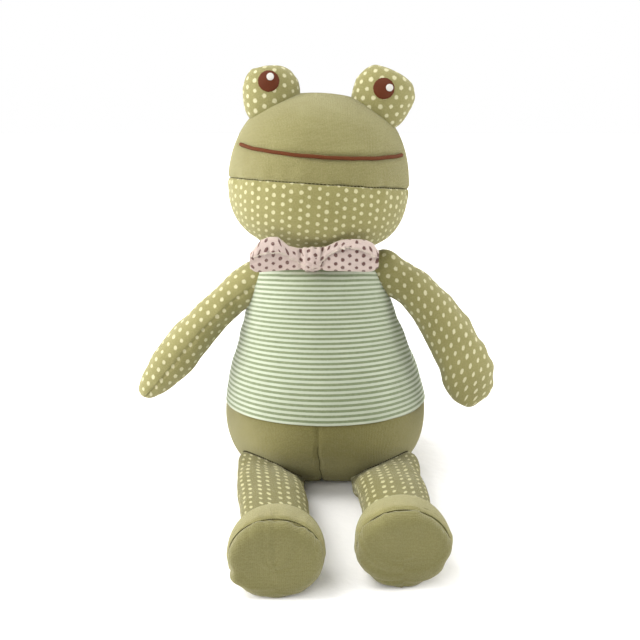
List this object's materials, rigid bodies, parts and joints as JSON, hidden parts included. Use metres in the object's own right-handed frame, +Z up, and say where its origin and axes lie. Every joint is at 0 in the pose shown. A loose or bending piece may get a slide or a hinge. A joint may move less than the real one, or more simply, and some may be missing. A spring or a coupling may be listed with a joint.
{
  "type": "plush frog",
  "caption": "Sitting stuffed plush frog in green cotton with a dotted jaw and limbs, a striped shirt and a spotted bow tie.",
  "frame": {"origin": "middle of the flat seat, on the surface that the toy sits on", "axes": "+Z up through the head, -Y the way the face and feet point, +X to the right of someone who looks the toy in the face"},
  "size_m": [0.223, 0.2318, 0.2576],
  "materials": {
    "plain_green": "matte jersey knit",
    "dotted_green": "matte printed cotton",
    "striped_cotton": "matte printed cotton",
    "bow_cotton": "matte printed cotton",
    "brown_thread": "satin thread",
    "iris_brown": "satin embroidery",
    "white_thread": "satin embroidery",
    "filling": "matte fibre"
  },
  "bodies": {
    "torso": {"shirt_front": "striped_cotton", "shirt_back": "striped_cotton", "hip_left": "plain_green", "hip_right": "plain_green", "seat_base": "plain_green", "body_stuffing": "filling", "bow_knot": "bow_cotton", "bow_loop_left": "bow_cotton", "bow_loop_right": "bow_cotton"},
    "neck": {"neck_stuffing": "filling"},
    "head": {"crown": "plain_green", "jaw": "dotted_green", "head_stuffing": "filling", "mouth_cord": "brown_thread", "eye_mound_left": "dotted_green", "eye_stuffing_left": "filling", "iris_left": "iris_brown", "glint_left": "white_thread", "eye_mound_right": "dotted_green", "eye_stuffing_right": "filling", "iris_right": "iris_brown", "glint_right": "white_thread"},
    "arm_left": {"arm_left": "dotted_green", "arm_stuffing_left": "filling"},
    "leg_left": {"leg_left": "dotted_green", "leg_stuffing_left": "filling"},
    "foot_left": {"foot_upper_left": "plain_green", "foot_sole_left": "plain_green", "foot_stuffing_left": "filling"},
    "arm_right": {"arm_right": "dotted_green", "arm_stuffing_right": "filling"},
    "leg_right": {"leg_right": "dotted_green", "leg_stuffing_right": "filling"},
    "foot_right": {"foot_upper_right": "plain_green", "foot_sole_right": "plain_green", "foot_stuffing_right": "filling"}
  },
  "joints": [
    {"name": "neck_turn", "type": "hinge", "parent": "torso", "child": "neck", "pos_m": [-0.004, 0.002, 0.148], "axis": [0, 0, 1], "range_deg": [-25, 25], "stiffness_Nm_per_rad": 0.15},
    {"name": "head_nod", "type": "hinge", "parent": "neck", "child": "head", "pos_m": [-0.004, 0.002, 0.148], "axis": [1, 0, 0], "range_deg": [-15, 4], "stiffness_Nm_per_rad": 0.4},
    {"name": "shoulder_left", "type": "hinge", "parent": "torso", "child": "arm_left", "pos_m": [-0.04102, 0, 0.12613], "axis": [0, 1, 0], "range_deg": [-8, 80], "stiffness_Nm_per_rad": 0.05},
    {"name": "shoulder_right", "type": "hinge", "parent": "torso", "child": "arm_right", "pos_m": [0.03185, 0, 0.13056], "axis": [0, -1, 0], "range_deg": [-8, 60], "stiffness_Nm_per_rad": 0.05},
    {"name": "hip_left_lift", "type": "hinge", "parent": "torso", "child": "leg_left", "pos_m": [-0.0345, -0.05638, 0.0135], "axis": [-1, 0, 0], "range_deg": [-65, 30], "stiffness_Nm_per_rad": 0.15},
    {"name": "ankle_left_flex", "type": "hinge", "parent": "leg_left", "child": "foot_left", "pos_m": [-0.0275, -0.14439, 0.024], "axis": [-1, 0, 0], "range_deg": [-12, 12], "stiffness_Nm_per_rad": 0.05},
    {"name": "hip_right_lift", "type": "hinge", "parent": "torso", "child": "leg_right", "pos_m": [0.039, -0.05638, 0.0135], "axis": [-1, 0, 0], "range_deg": [-65, 30], "stiffness_Nm_per_rad": 0.15},
    {"name": "ankle_right_flex", "type": "hinge", "parent": "leg_right", "child": "foot_right", "pos_m": [0.042, -0.13439, 0.024], "axis": [-1, 0, 0], "range_deg": [-12, 12], "stiffness_Nm_per_rad": 0.05}
  ]
}
